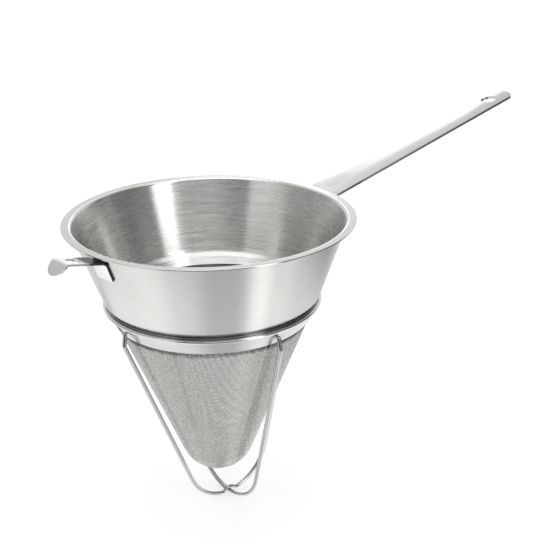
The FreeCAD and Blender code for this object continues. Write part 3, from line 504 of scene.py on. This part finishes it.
def weave_surface():
    """The cloth's middle surface, from the CAD shell: depths of apex and tip centre, and tip radius."""
    low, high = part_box("mesh_cone")
    half = CLOTH_THICKNESS / 2
    sine = math.sin(CONE_HALF_ANGLE)
    outer_apex = -high.z + high.x / math.tan(CONE_HALF_ANGLE)
    tip = -low.z
    outer_radius = (outer_apex - tip) / (1 / sine - 1)
    centre = tip - outer_radius
    apex = outer_apex - half / sine
    return apex, centre, outer_radius - half


class Cloth:
    """Plain weave laid out flat as a sector, then rolled to the sieve's cone and round tip."""

    def __init__(self):
        self.sine = math.sin(CONE_HALF_ANGLE)
        self.cosine = math.cos(CONE_HALF_ANGLE)
        self.apex, self.centre, self.tip_radius = weave_surface()
        top = -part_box("mesh_cone")[1].z
        self.widest = (self.apex - top) / self.cosine
        self.sector = 2 * math.pi * self.sine
        self.tip_arc = self.tip_radius * (math.pi / 2 - CONE_HALF_ANGLE)
        self.tip_slant = self.tip_radius / math.tan(CONE_HALF_ANGLE)
        self.drawn_arc = self.tip_arc + DRAWN_SLANT - self.tip_slant

    def place(self, flat, lift):
        """Places and outward normals of flat points (x, y), lifted off the middle surface."""
        slant = np.hypot(flat[:, 0], flat[:, 1])
        angle = np.arctan2(flat[:, 1], flat[:, 0])
        angle = np.where(angle < FAR_SIDE_ANGLE, angle + 2 * math.pi, angle)
        azimuth = SEAM_AZIMUTH - angle / self.sine
        power = DRAWN_SLANT / self.drawn_arc
        drawn = self.drawn_arc * (np.minimum(slant, DRAWN_SLANT) / DRAWN_SLANT) ** power
        arc = np.where(slant < DRAWN_SLANT, drawn, self.drawn_arc + slant - DRAWN_SLANT)
        polar = np.minimum(arc / self.tip_radius, math.pi / 2 - CONE_HALF_ANGLE)
        on_cone = np.maximum(arc - self.tip_arc, 0.0)
        radius = self.tip_radius * np.sin(polar) + on_cone * self.sine
        depth = self.centre + self.tip_radius * np.cos(polar) - on_cone * self.cosine
        east = np.cos(azimuth)
        north = np.sin(azimuth)
        normal = np.stack([np.sin(polar) * east, np.sin(polar) * north, -np.cos(polar)], axis=1)
        middle = np.stack([radius * east, radius * north, -depth], axis=1)
        lap = np.clip(-flat[:, 1] / CLOTH_PITCH + 0.5, 0.0, 1.0) * (np.abs(angle) < LAP_ANGLE)
        lap *= np.clip(slant / LAP_FADE - 0.5, 0.0, 1.0)
        return middle + normal * (lift + lap * CLOTH_THICKNESS)[:, None], normal

    def wire(self, family, index):
        """Flat points and lifts of one wire: family 0 runs along the seam, family 1 across it."""
        fixed = index * CLOTH_PITCH
        edge = math.cos(self.sector) / math.sin(self.sector)
        if abs(fixed) >= self.widest:
            return None
        stop = math.sqrt(self.widest ** 2 - fixed ** 2)
        if family == 0:
            start = max(fixed * edge, -stop) if fixed > 0 else TIP_HOLE_SLANT
        else:
            start = -SEAM_LAP if fixed > 0 else max(fixed / edge, 0.0)
        if stop - start < 2 * CLOTH_PITCH:
            return None
        first = math.ceil(start / CLOTH_PITCH + END_GAP)
        last = math.floor(stop / CLOTH_PITCH - END_GAP)
        steps = np.arange(first, last + 1)
        along = np.concatenate([[start], steps * CLOTH_PITCH, [stop]])
        side = np.where((steps + index + family) % 2 == 0, 1.0, -1.0) * (WIRE_DIAMETER / 2)
        lift = np.concatenate([[0.0], side, [0.0]])
        across = np.full_like(along, fixed)
        flat = np.stack([along, across] if family == 0 else [across, along], axis=1)
        clear = np.hypot(flat[:, 0], flat[:, 1]) >= TIP_HOLE_SLANT
        return flat, lift, clear


def tube(centres, normals, radius, sides):
    """Vertices and faces of a closed wire along centres, with a corner on the outward normal."""
    ahead = np.gradient(centres, axis=0)
    ahead /= np.linalg.norm(ahead, axis=1)[:, None]
    across = np.cross(ahead, normals)
    across /= np.linalg.norm(across, axis=1)[:, None]
    outward = np.cross(across, ahead)
    turns = np.arange(sides) * 2 * math.pi / sides
    rings = centres[:, None] + radius * (
        np.cos(turns)[None, :, None] * outward[:, None] + np.sin(turns)[None, :, None] * across[:, None])
    count = len(centres)
    faces = []
    for ring in range(count - 1):
        low, high = ring * sides, (ring + 1) * sides
        for side in range(sides):
            after = (side + 1) % sides
            faces.append((low + side, low + after, high + after, high + side))
    faces.append(tuple(reversed(range(sides))))
    faces.append(tuple(range((count - 1) * sides, count * sides)))
    return rings.reshape(-1, 3), faces


def make_cloth(cloth, family, name):
    """The wires of one family, shared out over pieces of about equal size."""
    limit = math.ceil(cloth.widest / CLOTH_PITCH)
    lowest = -math.floor(SEAM_LAP / CLOTH_PITCH) if family == 0 else -limit
    runs = [cloth.wire(family, index) for index in range(lowest, limit + 1)]
    runs = [run for run in runs if run is not None]
    total = sum(len(flat) for flat, lift, clear in runs)
    shares = [([], []) for part in range(CLOTH_PARTS)]
    done = 0
    for flat, lift, clear in runs:
        places, faces = shares[min(CLOTH_PARTS * done // total, CLOTH_PARTS - 1)]
        done += len(flat)
        ends = np.flatnonzero(np.diff(np.concatenate([[0], clear.astype(int), [0]])))
        for start, stop in zip(ends[::2], ends[1::2]):
            if stop - start < 2:
                continue
            centres, normals = cloth.place(flat[start:stop], lift[start:stop])
            ring, wire_faces = tube(centres, normals, WIRE_DIAMETER / 2, WIRE_SIDES)
            first = len(places)
            places.extend(ring.tolist())
            faces.extend(tuple(v + first for v in face) for face in wire_faces)
    pieces = []
    for part, (places, faces) in enumerate(shares):
        mesh = bpy.data.meshes.new("%s_%d" % (name, part + 1))
        mesh.from_pydata(places, [], faces)
        mesh.shade_smooth()
        piece = bpy.data.objects.new(mesh.name, mesh)
        bpy.context.scene.collection.objects.link(piece)
        pieces.append(piece)
    return pieces


def bent_line(corners, bends):
    """Line through corners, each rounded by its bend: its points and the length along it up to each."""
    corners = [Vector(corner) for corner in corners]
    line = [corners[0]]
    for before, corner, after, radius in zip(corners, corners[1:], corners[2:], bends):
        ahead = (corner - before).normalized()
        beyond = (after - corner).normalized()
        half_turn = ahead.angle(beyond) / 2
        centre = corner + (beyond - ahead).normalized() * radius / math.cos(half_turn)
        start = corner - ahead * radius * math.tan(half_turn) - centre
        stop = corner + beyond * radius * math.tan(half_turn) - centre
        for step in range(BEND_STEPS + 1):
            line.append(centre + start.lerp(stop, step / BEND_STEPS).normalized() * radius)
    line.append(corners[-1])
    runs = [0.0]
    for first, second in zip(line, line[1:]):
        runs.append(runs[-1] + (second - first).length)
    return line, runs


def arc_points(centre, radius, start, stop, count):
    turns = [start + (stop - start) * step / count for step in range(count + 1)]
    return [(centre[0] + radius * math.cos(t), centre[1] + radius * math.sin(t)) for t in turns]


def make_hook():
    """The hook's blank, cut out flat with its round lip and its hole, then bent."""
    line, runs = bent_line(HOOK_SIDE_VIEW, HOOK_BENDS)
    half = HOOK_WIDTH / 2
    length = runs[-1]
    inner = half - HOOK_CORNER
    quarter = math.pi / 2
    outline = arc_points((HOOK_CORNER, inner), HOOK_CORNER, quarter, 2 * quarter, CORNER_STEPS)
    outline += arc_points((HOOK_CORNER, -inner), HOOK_CORNER, 2 * quarter, 3 * quarter, CORNER_STEPS)
    outline += arc_points((length - half, 0.0), half, -quarter, quarter, LIP_STEPS)
    fold = runs[-2] - (runs[-2] - runs[-2 - BEND_STEPS]) / 2
    middle = (fold - HOOK_HOLE_INSET, 0.0)
    hole = arc_points(middle, HOOK_HOLE_RADIUS, 0.0, 4 * quarter, HOLE_STEPS)[:-1]
    shape = bmesh.new()
    for ring in (outline, hole):
        corners = [shape.verts.new((x, y, 0.0)) for x, y in ring]
        for first, second in zip(corners, corners[1:] + corners[:1]):
            shape.edges.new((first, second))
    bmesh.ops.triangle_fill(shape, edges=shape.edges[:], use_beauty=True)
    for run in runs[1:-1]:
        parts = shape.verts[:] + shape.edges[:] + shape.faces[:]
        bmesh.ops.bisect_plane(shape, geom=parts, plane_co=(run, 0.0, 0.0), plane_no=(1.0, 0.0, 0.0))
    out = Vector((math.cos(HOOK_AZIMUTH), math.sin(HOOK_AZIMUTH), 0.0))
    across = Vector((-out.y, out.x, 0.0))
    tab = runs[1]
    for vertex in shape.verts:
        run, side = vertex.co.x, vertex.co.y
        reach = np.interp(run, runs, [p.x for p in line])
        height = np.interp(run, runs, [p.y for p in line])
        on_tab = min(max((tab + HOOK_BENDS[0] - run) / HOOK_BENDS[0], 0.0), 1.0)
        reach -= on_tab * side ** 2 / (2 * HOOK_WALL_RADIUS)
        vertex.co = out * reach + across * side + Vector((0.0, 0.0, height))
    bmesh.ops.recalc_face_normals(shape, faces=shape.faces[:])
    mesh = bpy.data.meshes.new("hook_blank")
    shape.to_mesh(mesh)
    shape.free()
    mesh.shade_smooth()
    piece = bpy.data.objects.new("hook_blank", mesh)
    bpy.context.scene.collection.objects.link(piece)
    sheet = piece.modifiers.new("sheet", "SOLIDIFY")
    sheet.thickness = HOOK_SHEET
    sheet.offset = 0.0
    sheet.use_even_offset = True
    edges = piece.modifiers.new("edges", "BEVEL")
    edges.width = EDGE_ROUND
    edges.segments = EDGE_STEPS
    edges.limit_method = "ANGLE"
    edges.angle_limit = EDGE_ANGLE
    edges.harden_normals = True
    return piece


def dress(material, *names):
    for name in names:
        slots = nodes[name].data.materials
        slots.clear()
        slots.append(material)


make_camera()
make_world()
make_floor()

bowl_steel = make_steel(
    "bowl_steel", colour=(0.71, 0.70, 0.685), roughness=0.27,
    grain=bowl_grain, contrast=0.28, bump=0.000003, anisotropy=1.0, rotation=ROUND_THE_AXIS,
    polish=(rim_mask, RIM_ROUGHNESS), roll=bowl_roll)
collar_steel = make_steel(
    "collar_steel", colour=(0.54, 0.535, 0.525), roughness=0.20,
    grain=partial(turned_grain, round_scale=4.0, line_scale=1500.0),
    contrast=0.08, bump=0.000002, anisotropy=0.9, rotation=ROUND_THE_AXIS)
handle_steel = make_steel(
    "handle_steel", colour=(0.69, 0.685, 0.675), roughness=0.20,
    grain=partial(straight_grain, along_scale=14.0, line_scale=1800.0),
    contrast=0.07, bump=0.000004, roll=handle_roll)
# The hook's arm and edges near the bowl get painted shade and painted dark reflection.
hook_steel = make_steel(
    "hook_steel", colour=(0.78, 0.78, 0.78), roughness=0.28,
    grain=partial(straight_grain, along_scale=40.0, line_scale=1500.0),
    contrast=0.08, bump=0.000004, painted_shade=(hook_shade_mask, HOOK_SHADE_COLOUR))
ring_steel = make_steel(
    "ring_steel", colour=(0.70, 0.695, 0.69), roughness=0.14,
    grain=partial(turned_grain, round_scale=40.0, line_scale=900.0),
    contrast=0.06, bump=0.000002)
guard_steel = make_steel(
    "guard_steel", colour=(0.48, 0.475, 0.47), roughness=0.15,
    grain=partial(straight_grain, along_scale=350.0, line_scale=350.0),
    contrast=0.06, bump=0.000002)
# The cloth's edge under the collar gets painted shade, partly standing for its folded double hem.
cloth_steel = make_steel(
    "cloth_steel", colour=(0.71, 0.70, 0.685), roughness=0.26,
    grain=partial(straight_grain, along_scale=500.0, line_scale=500.0),
    contrast=0.10, painted_shade=(shaded_hem_mask, SHADED_HEM_COLOUR))
weld_steel = make_steel(
    "weld_steel", colour=(0.60, 0.59, 0.575), roughness=0.30,
    grain=partial(straight_grain, along_scale=900.0, line_scale=900.0),
    contrast=0.15, bump=0.00002)

dress(bowl_steel, "bowl")
dress(collar_steel, "mesh_collar")
dress(handle_steel, "handle")
dress(hook_steel, "pot_hook")
dress(ring_steel, "seat_ring")
dress(guard_steel, "guard_loop_over", "guard_loop_under")
dress(weld_steel, "ring_joint_weld", "guard_leg_welds", "handle_spot_welds", "hook_spot_welds")

cloth = Cloth()
for family, name in enumerate(("sieve_warp", "sieve_weft")):
    for piece in make_cloth(cloth, family, name):
        piece.data.materials.append(cloth_steel)
        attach(piece, BODY)
        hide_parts("mesh_cone")

hook = make_hook()
hook.data.materials.append(hook_steel)
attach(hook, BODY)
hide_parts("pot_hook")

view = bpy.context.scene.view_settings
view.view_transform = "Standard"
